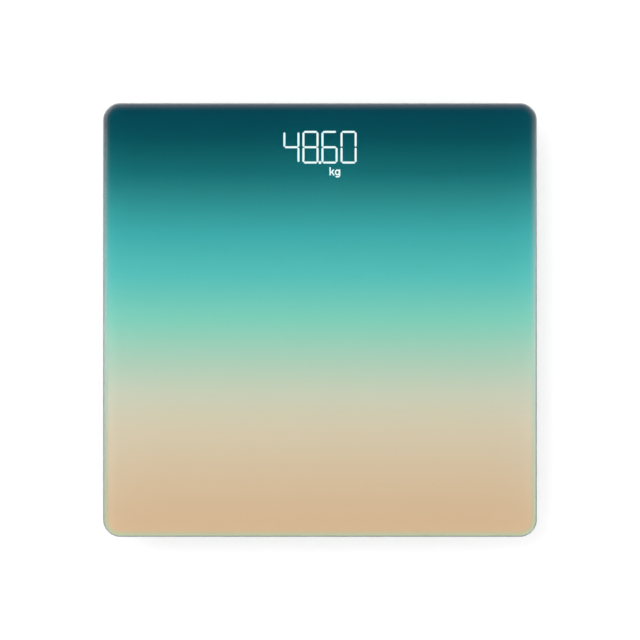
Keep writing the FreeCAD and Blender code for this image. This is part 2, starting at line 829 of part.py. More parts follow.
def make_bracket(corner):
    """The plastic cap that holds a load cell down on its posts and carries the glass."""
    body = new_body(f"cell_bracket_{corner}")
    flange = sketch_on(body, "BracketFlange", "bracket_under")
    rounded_rectangle(flange, "bracket_side", "bracket_side", "bracket_corner")
    pad(body, flange, "bracket_flange", "BracketFlangePad")
    cap = sketch_on(body, "BracketCap", "bracket_under + bracket_flange")
    rounded_rectangle(cap, "bracket_cap_side", "bracket_cap_side", "bracket_cap_corner")
    raised = pad(body, cap, "tray_rim - bracket_under - bracket_flange", "BracketCapPad")
    dress(
        body, "PartDesign::Fillet", raised, "bracket_cap_round", "BracketCapRound",
        level_at("tray_rim"),
    )
    hollow = sketch_on(body, "CellPocket", "bracket_under")
    rectangle(hollow, "bracket_pocket", "bracket_pocket")
    pocket(body, hollow, "cell_top - bracket_under", "CellPocketCut")
    flex = sketch_on(body, "FlexRoom", "cell_top")
    rectangle(flex, "flex_side", "flex_side")
    pocket(body, flex, "flex_depth", "FlexRoomCut")
    notch = sketch_on(body, "LeadNotch", "bracket_under")
    rectangle(
        notch, "bracket_side - bracket_pocket", "lead_notch", "bracket_side / 2", "0"
    )
    pocket(body, notch, "bracket_flange", "LeadNotchCut")
    holes = sketch_on(body, "BracketHoles", "bracket_under")
    for sx, sy in CORNERS.values():
        circle(holes, "screw_bore", f"{sx} * screw_place", f"{sy} * screw_place")
    pocket(body, holes, "bracket_flange", "BracketHoleCuts")
    return body


def make_screw(label, x, y, seat):
    """A cross-headed screw whose head sits on the height given."""
    shank = cylinder(f"{label}_shank", "screw_radius", "screw_length + 0.4", x, y,
                     f"{seat} - screw_length")
    head = cylinder(f"{label}_head", "screw_head_radius", "screw_head_height", x, y, seat)
    solid = fuse(f"{label}_solid", [shank, head])
    top = f"{seat} + screw_head_height - screw_recess_depth"
    depth = "screw_recess_depth + 1"
    bars = [
        box(f"{label}_bar_x", "screw_recess_length", "screw_recess_width", depth, x, y, top),
        box(f"{label}_bar_y", "screw_recess_width", "screw_recess_length", depth, x, y, top),
    ]
    return cut(label, solid, fuse(f"{label}_recess", bars))


def make_bracket_screws():
    screws = []
    for corner, (cx, cy) in CORNERS.items():
        for spot, (sx, sy) in CORNERS.items():
            screws.append(
                make_screw(
                    f"screw_{corner}_{spot}",
                    f"{cx} * foot_place + {sx} * screw_place",
                    f"{cy} * foot_place + {sy} * screw_place",
                    "bracket_under + bracket_flange",
                )
            )
    return together("bracket_screws", screws)


def make_foot(corner):
    """A ribbed cup whose middle boss presses on the load cell's tongue."""
    body = new_body(f"foot_{corner}")
    disc = sketch_on(body, "FootDisc", "foot_under")
    circle(disc, "foot_radius")
    whole = pad(body, disc, "foot_wall_top - foot_under", "FootDiscPad")
    dress(
        body, "PartDesign::Fillet", whole, "foot_round", "FootRound", level_at("foot_under")
    )
    tabs = sketch_on(body, "FootTabsAcross", "tab_under")
    rectangle(tabs, "2 * (foot_radius + tab_reach)", "tab_width")
    pad(body, tabs, "tab_thickness", "FootTabsAcrossPad")
    more = sketch_on(body, "FootTabsAlong", "tab_under")
    rectangle(more, "tab_width", "2 * (foot_radius + tab_reach)")
    pad(body, more, "tab_thickness", "FootTabsAlongPad")
    cup = sketch_on(body, "FootCup", "foot_web_top")
    circle(cup, "foot_radius - foot_wall")
    pocket(body, cup, "foot_wall_top - foot_web_top", "FootCupCut")
    recess = sketch_on(body, "PadRecess", "foot_under")
    circle(recess, "pad_radius + pad_gap")
    pocket(body, recess, "foot_web_under - foot_under", "PadRecessCut")
    rib = sketch_on(body, "FootRib", "foot_web_top")
    rectangle(
        rib, "foot_radius - foot_wall / 2", "foot_rib", "(foot_radius - foot_wall / 2) / 2", "0"
    )
    spoke = pad(body, rib, "foot_wall_top - foot_web_top", "FootRibPad")
    spokes = body.newObject("PartDesign::PolarPattern", "FootRibs")
    spokes.Originals = [spoke]
    spokes.Axis = (rib, ["N_Axis"])
    spokes.Angle = 360
    spokes.Occurrences = 8
    body.Tip = spokes
    boss = sketch_on(body, "FootBoss", "foot_web_top")
    circle(boss, "foot_boss_radius")
    pad(body, boss, "cell_under - foot_web_top", "FootBossPad")
    return body


def make_foot_pad(corner):
    """The rubber disc under a foot, with rings moulded into the face that grips the floor."""
    body = new_body(f"foot_pad_{corner}")
    disc = sketch_on(body, "PadDisc", "0")
    circle(disc, "pad_radius")
    whole = pad(body, disc, "pad_thickness", "PadDiscPad")
    dress(body, "PartDesign::Fillet", whole, "pad_round", "PadRound", level_at("0"))
    rings = sketch_on(body, "PadRings", "0")
    for step in (0, 1):
        middle = f"groove_radius + {step} * groove_pitch"
        circle(rings, f"{middle} + groove_width / 2")
        circle(rings, f"{middle} - groove_width / 2")
    pocket(body, rings, "groove_depth", "PadRingCuts")
    return body


# ---- Display and board ----


def make_board():
    body = new_body("circuit_board")
    outline = sketch_on(body, "BoardOutline", "board_under", "0", "board_middle")
    rounded_rectangle(outline, "board_width", "board_length", "board_corner")
    for sx, sy in CORNERS.values():
        circle(outline, "screw_bore", f"{sx} * board_screw_across", f"{sy} * board_screw_along")
    pad(body, outline, "board_thickness", "BoardSheet")
    return body


def make_board_screws():
    screws = []
    for spot, (sx, sy) in CORNERS.items():
        x, y = f"{sx} * board_screw_across", f"board_middle + {sy} * board_screw_along"
        screws.append(make_screw(f"board_screw_{spot}", x, y, "board_top"))
    return together("board_screws", screws)


def segment_bar(sketch, length, x, y, upright):
    """A six-sided bar with pointed ends."""
    half, side = f"({length}) / 2", "segment_width / 2"
    shoulder = f"({half} - {side})"
    corners = [
        (half, "0"), (shoulder, side), (f"-{shoulder}", side),
        (f"-({half})", "0"), (f"-{shoulder}", f"-{side}"), (shoulder, f"-{side}"),
    ]
    if upright:
        corners = [(f"-({across})", along) for along, across in corners]
    points = [(f"({x}) + ({px})", f"({y}) + ({py})") for px, py in corners]
    at = [Vector(value(px), value(py), 0) for px, py in points]
    for i in range(6):
        edge = sketch.addGeometry(Part.LineSegment(at[i], at[(i + 1) % 6]), False)
        if i:
            sketch.addConstraint(Sketcher.Constraint("Coincident", edge - 1, 2, edge, 1))
        dimension(sketch, "DistanceX", (-1, 1, edge, 1), points[i][0])
        dimension(sketch, "DistanceY", (-1, 1, edge, 1), points[i][1])
    sketch.addConstraint(Sketcher.Constraint("Coincident", edge, 2, edge - 5, 1))


FIRST_DIGIT = "-1.5 * digit_pitch"
SEGMENTS = [
    ("0", "digit_height / 2", False), ("0", "0", False), ("0", "-digit_height / 2", False),
    ("-digit_width / 2", "digit_height / 4", True), ("digit_width / 2", "digit_height / 4", True),
    ("-digit_width / 2", "-digit_height / 4", True), ("digit_width / 2", "-digit_height / 4", True),
]


def digit_row(body, height, depth, make):
    """Pads or pockets the seven segments of the first digit and repeats them along the row."""
    digit = sketch_on(body, "DigitSegments", height, FIRST_DIGIT, "digit_line")
    for x, y, upright in SEGMENTS:
        full = "digit_height / 2" if upright else "digit_width"
        segment_bar(digit, f"{full} - 2 * segment_gap", x, y, upright)
    first = make(body, digit, depth, "FirstDigit")
    row = body.newObject("PartDesign::LinearPattern", "DigitRow")
    row.Originals = [first]
    row.Direction = (digit, ["H_Axis"])
    bind(row, "Length", "3 * digit_pitch")
    row.Occurrences = 4
    body.Tip = row
    other = sketch_on(body, "DotAndUnit", height, "0", "digit_line")
    circle(other, "dot_radius", "0", "-digit_height / 2")
    rectangle(
        other, "unit_window_width", "unit_window_length",
        "unit_window_across", "-unit_window_down",
    )
    make(body, other, depth, "DotAndUnitCells")


def make_reflector():
    """The white block on the board whose cells shape the light."""
    body = new_body("display_reflector")
    outline = sketch_on(body, "ReflectorOutline", "board_top", "0", "reflector_line")
    rounded_rectangle(outline, "reflector_width", "reflector_length", "reflector_corner")
    pad(body, outline, "reflector_height", "ReflectorBlock")
    digit_row(body, "board_top", "reflector_height", pocket)
    return body


def make_segments():
    """Clear light guides that fill the reflector's cells, above the chips."""
    body = new_body("display_segments")
    body.AllowCompound = True
    lift = "chip_height + chip_gap"
    digit_row(body, f"board_top + {lift}", f"reflector_height - ({lift})", pad)
    return body


def make_led_chips():
    chips = []
    middle = "board_top"
    size = ("chip_length", "chip_width", "chip_height")
    for digit in range(4):
        for number, (x, y, upright) in enumerate(SEGMENTS):
            width, length = (size[1], size[0]) if upright else (size[0], size[1])
            chips.append(
                box(
                    f"chip_{digit}_{number}", width, length, size[2],
                    f"{FIRST_DIGIT} + {digit} * digit_pitch + ({x})", f"digit_line + ({y})", middle,
                )
            )
    dot_side = "chip_width"
    chips.append(box("chip_dot", dot_side, dot_side, size[2], "0",
                     "digit_line - digit_height / 2", middle))
    for side in (1, -1):
        chips.append(box(f"chip_unit_{side + 1}", *size,
                         f"unit_window_across + {side} * unit_window_width / 4",
                         "unit_window_line", middle))
    return together("led_chips", chips)


def make_diffuser():
    body = new_body("display_diffuser")
    outline = sketch_on(body, "DiffuserOutline", "tray_rim", "0", "reflector_line")
    trim = "2 * (gasket_width + diffuser_gap)"
    rectangle(outline, f"reflector_width - {trim}", f"reflector_length - {trim}")
    pad(body, outline, "diffuser_thickness", "DiffuserSheet")
    return body


def make_gasket():
    """The foam frame that closes the gap between the reflector and the printed film."""
    body = new_body("display_gasket")
    ring = sketch_on(body, "GasketRing", "tray_rim", "0", "reflector_line")
    rounded_rectangle(ring, "reflector_width", "reflector_length", "reflector_corner")
    rectangle(ring, "reflector_width - 2 * gasket_width", "reflector_length - 2 * gasket_width")
    pad(body, ring, "tape_thickness", "GasketFoam")
    return body


def make_controller():
    """The controller chip on the underside of the board, with a row of legs on two sides."""
    top = "board_under - controller_height"
    pieces = [
        box("controller_case", "controller_side", "controller_side", "controller_height",
            "-controller_side", "board_middle", top)
    ]
    for side in (1, -1):
        for step in range(8):
            pieces.append(
                box(
                    f"controller_leg_{side + 1}_{step}", "pin_width", "2 * pin_length", "pin_width",
                    f"-controller_side + ({step} - 3.5) * pin_pitch",
                    f"board_middle + {side} * controller_side / 2", "board_under - pin_width",
                )
            )
    return fuse("controller_chip", pieces)


def make_components():
    """The other parts on the underside of the board."""
    pieces = [
        cylinder("capacitor", "2.5", "4.4", "8", "board_middle + 8", "board_under - 4.4"),
        box("crystal", "8", "3.4", "3.2", "-24", "board_middle + 10", "board_under - 3.2"),
        box("trimmer_chip", "4", "5", "1.4", "8", "board_middle - 4", "board_under - 1.4"),
        box("diode", "3.2", "1.8", "1.2", "22", "board_middle + 10", "board_under - 1.2"),
    ]
    for step in range(8):
        pieces.append(
            box(
                f"resistor_{step}", "1.1", "2", "0.6",
                f"-24 + {step} * 2.6", "board_middle + 16", "board_under - 0.6",
            )
        )
    return together("board_components", pieces)


# ---- Unit button ----


def make_switch():
    """The switch body under the board, hollow for its plunger."""
    body = new_body("unit_switch")
    outline = sketch_on(body, "SwitchOutline", "switch_under", "button_across", "button_line")
    rectangle(outline, "switch_side", "switch_side")
    pad(body, outline, "switch_height", "SwitchBlock")
    well = sketch_on(body, "SwitchWell", "switch_under", "button_across", "button_line")
    circle(well, "plunger_radius + plunger_gap")
    pocket(body, well, "plunger_seat + plunger_room", "SwitchWellCut")
    return body


def make_plunger():
    return cylinder(
        "unit_switch_plunger", "plunger_radius", "plunger_proud + plunger_seat",
        "button_across", "button_line", "plunger_under",
    )


def make_button():
    """The button cap in the underside, held in by its flange."""
    body = new_body("unit_button")
    cap = sketch_on(body, "ButtonCap", "tray_clearance + button_sunk",
                    "button_across", "button_line")
    circle(cap, "button_radius")
    stub = pad(body, cap, "floor_thickness - button_sunk", "ButtonCapPad")
    dress(body, "PartDesign::Fillet", stub, "button_round", "ButtonRound",
          level_at("tray_clearance + button_sunk"))
    flange = sketch_on(body, "ButtonFlange", "floor_top", "button_across", "button_line")
    circle(flange, "button_flange_radius")
    pad(body, flange, "plunger_under - floor_top", "ButtonFlangePad")
    return body


# ---- Batteries, contacts and door ----


def make_battery(number):
    """One of the two cells. The first has its stud towards +X, the second towards -X."""
    side = 1 if number == 1 else -1
    axis = "X" if number == 1 else "-X"
    place_at = (f"{side} * battery_across", "battery_height")
    start = f"-{side} * (battery_length - (bay_length / 2 - contact_thickness))"
    can = cylinder(f"battery_can_{number}", "battery_radius",
                   "battery_length - battery_nub_length", start, *place_at, along=axis)
    nub = cylinder(f"battery_stud_{number}", "battery_nub_radius", "battery_length",
                   start, *place_at, along=axis)
    return fuse(f"battery_{number}", [can, nub])


def coil(side):
    """A cone-shaped coil from a battery's flat end to the contact plate on the given side."""
    wire, gap = value("spring_wire"), value("spring_length")
    tip, base, turns = value("spring_tip_radius"), value("spring_radius"), value("spring_turns")
    clear = 0.1 * wire
    run = gap - 2 * wire - 2 * clear
    flat_end = value("bay_length") / 2 - value("contact_thickness") - gap
    points = []
    for step in range(int(24 * turns) + 1):
        part = step / (24 * turns)
        radius, angle = tip + (base - tip) * part, 2 * math.pi * turns * part
        points.append(
            Vector(
                side * (flat_end + wire + clear + run * part),
                -side * value("battery_across") + radius * math.cos(angle),
                value("battery_height") + radius * math.sin(angle),
            )
        )
    curve = Part.BSplineCurve()
    curve.interpolate(points)
    ring = Part.Circle(points[0], curve.tangent(curve.FirstParameter)[0], wire).toShape()
    path = Part.Wire(curve.toShape())
    return path.makePipeShell([Part.Wire(ring)], True, True)


def make_contacts():
    """The positive plate and the negative spring at one end, the bridge at the other."""
    plate = "bay_length / 2 - contact_thickness / 2"
    size = ("contact_thickness", "contact_side", "contact_side")
    low = "battery_height - contact_side / 2"
    positive = box("contact_plate_positive", *size, plate, "battery_across", low)
    negative_plate = box("negative_plate", *size, plate, "-battery_across", low)
    negative = together(
        "contact_spring_negative", [negative_plate, shaped("negative_coil", coil(1))]
    )
    bridge_plate = box(
        "bridge_plate", "contact_thickness", "bridge_width", "contact_side", f"-({plate})", "0", low
    )
    bridge = together("contact_bridge", [bridge_plate, shaped("bridge_coil", coil(-1))])
    return [positive, negative, bridge]


def make_door():
    """The battery door: two hooks on the hinge side and a folded spring latch on the other."""
    body = new_body("battery_door")
    outline = sketch_on(body, "DoorOutline", "tray_clearance")
    rounded_rectangle(outline, "door_length", "door_width", "door_corner")
    plate = pad(body, outline, "door_thickness", "DoorPlate")
    low_edge = level_at("tray_clearance")
    far = value("door_width") / 2
    dress(
        body, "PartDesign::Chamfer", plate, "door_bevel", "DoorBevel",
        lambda edge: low_edge(edge) and edge.BoundBox.YMin > far - 1e-3,
    )
    hooks = sketch_on(body, "DoorHooks", "door_top - hook_thickness")
    for side in (1, -1):
        rectangle(hooks, "hook_width", "2 * hook_reach", f"{side} * hook_across", "door_width / 2")
    pad(body, hooks, "hook_thickness", "DoorHookPads")
    root = sketch_on(body, "LatchRoot", "door_top")
    rectangle(root, "latch_width", "latch_leaf", "0", "-(door_width - latch_leaf) / 2")
    pad(body, root, "latch_rise", "LatchRootPad")
    fold = sketch_on(body, "LatchFold", "door_top + latch_rise - latch_leaf")
    rectangle(
        fold, "latch_width", "latch_span", "0", "-(latch_out - latch_span / 2)"
    )
    pad(body, fold, "latch_leaf", "LatchFoldPad")
    leaf = sketch_on(body, "LatchLeaf", "tray_clearance + latch_sunk")
    rectangle(leaf, "latch_width", "latch_leaf", "0", "-(latch_out - latch_leaf / 2)")
    pad(body, leaf, "door_thickness + latch_rise - latch_sunk", "LatchLeafPad")
    barb = sketch_on(body, "LatchBarb", "tray_clearance + latch_barb_lift")
    rectangle(barb, "latch_width", "2 * latch_barb", "0", "-(latch_out)")
    pad(body, barb, "latch_barb_height", "LatchBarbPad")
    return body


def make_door_pad():
    """The foam strip that keeps the batteries from rattling."""
    return box("battery_door_pad", "door_pad_length", "door_pad_width", "door_pad_height",
               "0", "0", "door_top")


# ---- Leads ----


def lead(points):
    """A round lead along straight runs joined by tangent bends. Each point holds three formulas."""
    stops = [Vector(*(value(text) for text in point)) for point in points]
    bend = value("lead_bend")
    edges, last = [], stops[0]
    for before, here, after in zip(stops, stops[1:], stops[2:]):
        back, ahead = (before - here).normalize(), (after - here).normalize()
        middle = here + (back + ahead) * bend
        crest = middle - (back + ahead).normalize() * bend
        enter, leave = here + back * bend, here + ahead * bend
        edges.append(Part.LineSegment(last, enter).toShape())
        edges.append(Part.Arc(enter, crest, leave).toShape())
        last = leave
    edges.append(Part.LineSegment(last, stops[-1]).toShape())
    facing = stops[1] - stops[0]
    ring = Part.Wire(Part.Circle(stops[0], facing, value("lead_radius")).toShape())
    return Part.Wire(edges).makePipeShell([ring], True, False)


def make_cell_lead(corner):
    """The three leads of one load cell, from its gauge seal to the board."""
    sx, sy = CORNERS[corner]
    strands = []
    for number, step in enumerate((-1, 0, 1)):
        y = f"{sy} * foot_place + {step} * lead_pitch"
        top = "cell_under - seal_height / 2"
        edge = f"{sx} * (foot_place - cell_side / 2)"
        drop = f"{sx} * (foot_place - cell_side / 2 - lead_drop_out)"
        points = [(edge, y, top), (drop, y, top), (drop, y, "lead_height")]
        pad_x = f"{sx} * solder_across"
        if sy < 0:
            lane = f"{sx} * (lane_across + {step} * lead_pitch)"
            row = f"foot_place - rear_row_setback + {step} * lead_pitch"
            points += [(lane, y, "lead_height"), (lane, row, "lead_height")]
            y = row
        points += [(pad_x, y, "lead_height"), (pad_x, y, "board_under")]
        strands.append(shaped(f"strand_{corner}_{number}", lead(points)))
    return together(f"cell_lead_{corner}", strands)


def make_battery_leads():
    leads = []
    for label, side, step in (("battery_lead_red", 1, 1), ("battery_lead_black", -1, 0)):
        y = f"{side} * battery_across"
        lane = f"frame_length / 2 + battery_lane_gap + {step} * lead_pitch"
        row = f"board_rear - battery_row_gap + {step} * lead_pitch"
        pad_x = f"battery_pad_across + {step} * lead_pitch"
        pad_y = "board_rear + battery_pad_inset"
        points = [
            ("bay_length / 2", y, "battery_height"), (lane, y, "battery_height"),
            (lane, y, "lead_height"), (lane, row, "lead_height"), (pad_x, row, "lead_height"),
            (pad_x, pad_y, "lead_height"), (pad_x, pad_y, "board_under"),
        ]
        leads.append(shaped(label, lead(points)))
    return leads


# ---- Assembly ----

nodes = [
    make_glass(), make_film(), make_rim_tape(), make_support_tapes(), make_tray(),
    make_gauge_seals(), make_bracket_screws(),
    make_board(), make_board_screws(), make_controller(), make_components(),
    make_reflector(), make_segments(), make_led_chips(), make_diffuser(), make_gasket(),
    make_switch(), make_plunger(), make_button(),
    make_battery(1), make_battery(2), *make_contacts(), make_door(), make_door_pad(),
    *make_battery_leads(),
]
for corner, (sx, sy) in CORNERS.items():
    turn = 0 if sx < 0 else 180
    x, y = f"{sx} * foot_place", f"{sy} * foot_place"
    for maker in (make_load_cell, make_bracket, make_foot, make_foot_pad):
        nodes.append(place(maker(corner), x, y, turn))
    nodes.append(make_cell_lead(corner))
doc.recompute()

for thing in doc.Objects:
    if "Invalid" in thing.State or "Error" in thing.State:
        raise RuntimeError(f"{thing.Label} did not compute: {thing.State}")
for thing in doc.Objects:
    if not thing.isDerivedFrom("PartDesign::Pocket"):
        continue
    if thing.Shape.Volume > thing.BaseFeature.Shape.Volume - 1e-3:
        raise RuntimeError(f"{thing.Label} cut nothing away")
os.makedirs("parts", exist_ok=True)
for node in nodes:
    shape = node.Shape
    if shape.isNull() or not shape.isValid() or shape.Volume <= 0:
        raise RuntimeError(f"{node.Label} has no sound solid")
    shape.exportStep(os.path.join("parts", f"{node.Label}.step"))
print(f"{len(nodes)} nodes written")
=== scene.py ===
import math

import bmesh
import bpy
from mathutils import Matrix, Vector


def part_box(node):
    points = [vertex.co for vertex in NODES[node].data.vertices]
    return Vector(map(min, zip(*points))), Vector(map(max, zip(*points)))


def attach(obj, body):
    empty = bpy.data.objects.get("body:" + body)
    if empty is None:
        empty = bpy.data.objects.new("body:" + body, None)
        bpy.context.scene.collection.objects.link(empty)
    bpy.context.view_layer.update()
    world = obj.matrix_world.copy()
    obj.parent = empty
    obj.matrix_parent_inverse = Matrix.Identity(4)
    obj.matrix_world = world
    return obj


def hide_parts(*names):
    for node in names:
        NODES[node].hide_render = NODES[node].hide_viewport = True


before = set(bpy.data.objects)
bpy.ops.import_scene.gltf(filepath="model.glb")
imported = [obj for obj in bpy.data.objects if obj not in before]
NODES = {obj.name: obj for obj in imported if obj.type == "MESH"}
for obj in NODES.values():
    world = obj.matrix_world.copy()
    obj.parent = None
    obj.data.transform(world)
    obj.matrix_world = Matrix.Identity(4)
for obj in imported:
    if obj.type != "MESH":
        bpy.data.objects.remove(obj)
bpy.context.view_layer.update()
MM = 0.001
CORNERS = ("front_left", "front_right", "rear_left", "rear_right")

# Glass plate, in metres: the CAD node's own box gives its outline and heights.
GLASS_LOW, GLASS_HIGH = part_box("platform_glass")
HALF = GLASS_HIGH[0]
TOP = GLASS_HIGH[2]
CORNER = 11 * MM
TOP_ROUND = 3 * MM
UNDER_ROUND = 1.2 * MM
PRINT_INSET = 2 * MM
PRINT_HEIGHT = GLASS_LOW[2] + 0.02 * MM


# ---- Materials ----


def srgb(red, green, blue):
    """A colour given as screen values from 0 to 255, as the shader's linear values."""

    def linear(level):
        level /= 255
        return level / 12.92 if level <= 0.04045 else ((level + 0.055) / 1.055) ** 2.4

    return (linear(red), linear(green), linear(blue), 1.0)


class Finish:
    """A material with one Principled shader, and short calls for the nodes that feed it."""

    def __init__(self, name, colour, roughness, **sockets):
        self.material = bpy.data.materials.new(name)
        self.material.use_nodes = True
        self.nodes = self.material.node_tree.nodes
        self.links = self.material.node_tree.links
        self.shader = self.nodes["Principled BSDF"]
        self.output = self.nodes["Material Output"]
        self.set("Base Color", colour)
        self.set("Roughness", roughness)
        for socket, level in sockets.items():
            self.set(socket.replace("_", " "), level)

    def set(self, socket, level):
        self.shader.inputs[socket].default_value = level

    def add(self, kind, **settings):
        node = self.nodes.new(kind)
        for name, setting in settings.items():
            setattr(node, name, setting)
        return node

    def feed(self, source, target):
        self.links.new(source, target)

    def place(self):
        return self.add("ShaderNodeTexCoord").outputs["Object"]

    def noise(self, scale, detail=3.0, stretch=None):
        """Noise over the piece, scale in lumps per metre."""
        node = self.add("ShaderNodeTexNoise")
        node.inputs["Scale"].default_value = scale
        node.inputs["Detail"].default_value = detail
        place = self.place()
        if stretch:
            mapping = self.add("ShaderNodeMapping")
            mapping.inputs["Scale"].default_value = stretch
            self.feed(place, mapping.inputs["Vector"])
            place = mapping.outputs["Vector"]
        self.feed(place, node.inputs["Vector"])
        return node.outputs["Fac"]

    def ramp(self, source, stops, socket=None):
        """A colour ramp: stops are (position, colour or grey level)."""
        node = self.add("ShaderNodeValToRGB")
        band = node.color_ramp
        while len(band.elements) < len(stops):
            band.elements.new(0.5)
        for element, (position, colour) in zip(band.elements, stops):
            element.position = position
            grey = isinstance(colour, (int, float))
            element.color = (colour, colour, colour, 1) if grey else colour
        self.feed(source, node.inputs["Fac"])
        if socket:
            self.feed(node.outputs["Color"], self.shader.inputs[socket])
        return node.outputs["Color"]

    def math(self, operation, first, second=None):
        node = self.add("ShaderNodeMath", operation=operation)
        for socket, item in zip(node.inputs, (first, second)):
            if item is None:
                continue
            if isinstance(item, (int, float)):
                socket.default_value = item
            else:
                self.feed(item, socket)
        return node.outputs[0]

    def bump(self, source, depth, strength=1.0):
        """Raises the surface by a height pattern, depth in metres."""
        node = self.add("ShaderNodeBump")
        node.inputs["Strength"].default_value = strength
        node.inputs["Distance"].default_value = depth
        self.feed(source, node.inputs["Height"])
        self.feed(node.outputs["Normal"], self.shader.inputs["Normal"])


def moulded_plastic(name, colour, roughness=0.45, grain=2200, depth=0.00003, tint=0.012):
    """Spark-textured plastic: fine grain in the surface and a faint drift in colour and gloss."""
    finish = Finish(name, colour, roughness, IOR=1.49)
    finish.bump(finish.noise(grain, 2), depth)
    drift = finish.noise(35, 4)
    darker = tuple(level * (1 - tint) for level in colour[:3]) + (1,)
    paler = tuple(min(level * (1 + tint), 1) for level in colour[:3]) + (1,)
    finish.ramp(drift, [(0.3, darker), (0.7, paler)], "Base Color")
    finish.ramp(finish.noise(300, 3), [(0.3, roughness - 0.05), (0.7, roughness + 0.07)], "Roughness")
    return finish.material


def rubber(name, colour, roughness=0.75):
    finish = Finish(name, colour, roughness)
    finish.set("Specular IOR Level", 0.3)
    finish.bump(finish.noise(3500, 3), 0.00004)
    dusty = tuple(level * 1.5 + 0.01 for level in colour[:3]) + (1,)
    finish.ramp(finish.noise(120, 5), [(0.4, colour), (0.75, dusty)], "Base Color")
    return finish.material


def foam(name, colour):
    """Closed-cell foam: small open cells over its face, with painted shade darkening each cell's hollow."""
    finish = Finish(name, colour, 0.9)
    cells = finish.add("ShaderNodeTexVoronoi")
    cells.inputs["Scale"].default_value = 2500
    finish.feed(finish.place(), cells.inputs["Vector"])
    finish.bump(cells.outputs["Distance"], 0.00012)
    # painted shade: each cell darker towards its middle, where its hollow lies
    shade = tuple(level * 0.7 for level in colour[:3]) + (1,)
    finish.ramp(cells.outputs["Distance"], [(0.0, shade), (0.4, colour)], "Base Color")
    return finish.material


def plated_metal(name, colour, roughness=0.25, stretch=(1, 1, 1), lines=900):
    """Plated or rolled steel with fine lines along the way it was drawn."""
    finish = Finish(name, colour, roughness, Metallic=1.0)
    lines_out = finish.noise(lines, 3, stretch)
    finish.ramp(lines_out, [(0.3, roughness - 0.08), (0.7, roughness + 0.12)], "Roughness")
    finish.bump(lines_out, 0.00001)
    dull = tuple(level * 0.8 for level in colour[:3]) + (1,)
    finish.ramp(finish.noise(80, 4), [(0.35, dull), (0.65, colour)], "Base Color")
    return finish.material


# The share of the print's brightness that comes out through the glass: DEEP_SHARE for a
# black, and PALE_GAIN more for a white. Both were set by trial.
DEEP_SHARE, PALE_GAIN = 0.68, 0.21


def ink(red, green, blue):
    """The print's own colour where it should look like this through the glass."""
    seen = srgb(red, green, blue)
    return tuple(level / (DEEP_SHARE + PALE_GAIN * level) for level in seen[:3]) + (1.0,)


WARM_SAND, PALE_SAND, STONE = ink(215, 180, 145), ink(215, 200, 175), ink(205, 205, 185)
SEA_GREEN, TURQUOISE, LAGOON = ink(130, 205, 185), ink(90, 190, 185), ink(65, 170, 170)
TEAL, DARK_TEAL, DEEP_TEAL = ink(25, 110, 115), ink(10, 80, 90), ink(5, 60, 75)
# Colours up the plate, from the heel edge (0) to the display edge (1).
PRINT_STOPS = [
    (0.03, WARM_SAND), (0.25, PALE_SAND), (0.33, STONE), (0.50, SEA_GREEN), (0.60, TURQUOISE),
    (0.70, LAGOON), (0.84, TEAL), (0.92, DARK_TEAL), (1.00, DEEP_TEAL),
]
# Painted reflection: a pale band along the print's border, standing in for the glass edge's grazing
# reflection, from the heel edge to the display edge.
PAINTED_EDGE_SHEEN_STOPS = [
    (0.0, ink(180, 200, 165)), (0.45, ink(185, 210, 200)), (0.65, ink(145, 190, 190)),
    (1.0, ink(80, 90, 100)),
]
PAINTED_SHEEN_WIDTH = 6 * MM
PAINTED_SHEEN_FALL = 5.5


def edge_distance(finish):
    """How far inside the plate's rounded outline a point lies, in metres."""
    split = finish.add("ShaderNodeSeparateXYZ")
    finish.feed(finish.place(), split.inputs[0])
    straight = HALF - CORNER
    beyond = [
        finish.math("SUBTRACT", finish.math("ABSOLUTE", split.outputs[axis]), straight)
        for axis in (0, 1)
    ]
    positive = [finish.math("MAXIMUM", side, 0.0) for side in beyond]
    squares = [finish.math("MULTIPLY", side, side) for side in positive]
    diagonal = finish.math("SQRT", finish.math("ADD", *squares))
    inside = finish.math("MINIMUM", finish.math("MAXIMUM", *beyond), 0.0)
    return finish.math("SUBTRACT", CORNER, finish.math("ADD", diagonal, inside)), split.outputs[1]


def back_print():
    """The gradient print on the plate's underside, with a painted reflection: the pale band that the glass
    edge throws, painted into the print's colour along its border.
    """
    finish = Finish("back_print_gradient", (0.2, 0.5, 0.5, 1), 0.35)
    finish.set("Specular IOR Level", 0.0)
    inset, along = edge_distance(finish)
    height = finish.math("ADD", finish.math("DIVIDE", along, 2 * HALF), 0.5)
    body = finish.ramp(height, PRINT_STOPS)
    # painted reflection: pale edge colours, mixed over the print along its border by the mask below
    rim = finish.ramp(height, PAINTED_EDGE_SHEEN_STOPS)
    way_in = finish.math("DIVIDE", finish.math("SUBTRACT", inset, PRINT_INSET), PAINTED_SHEEN_WIDTH)
    left = finish.math("SUBTRACT", 1.0, finish.math("MINIMUM", finish.math("MAXIMUM", way_in, 0.0), 1.0))
    painted_sheen_fade = finish.math("POWER", left, PAINTED_SHEEN_FALL)
    mix = finish.add("ShaderNodeMix", data_type="RGBA")
    finish.feed(painted_sheen_fade, mix.inputs["Factor"])
    finish.feed(body, mix.inputs["A"])
    finish.feed(rim, mix.inputs["B"])
    finish.feed(mix.outputs["Result"], finish.shader.inputs["Base Color"])
    return finish.material


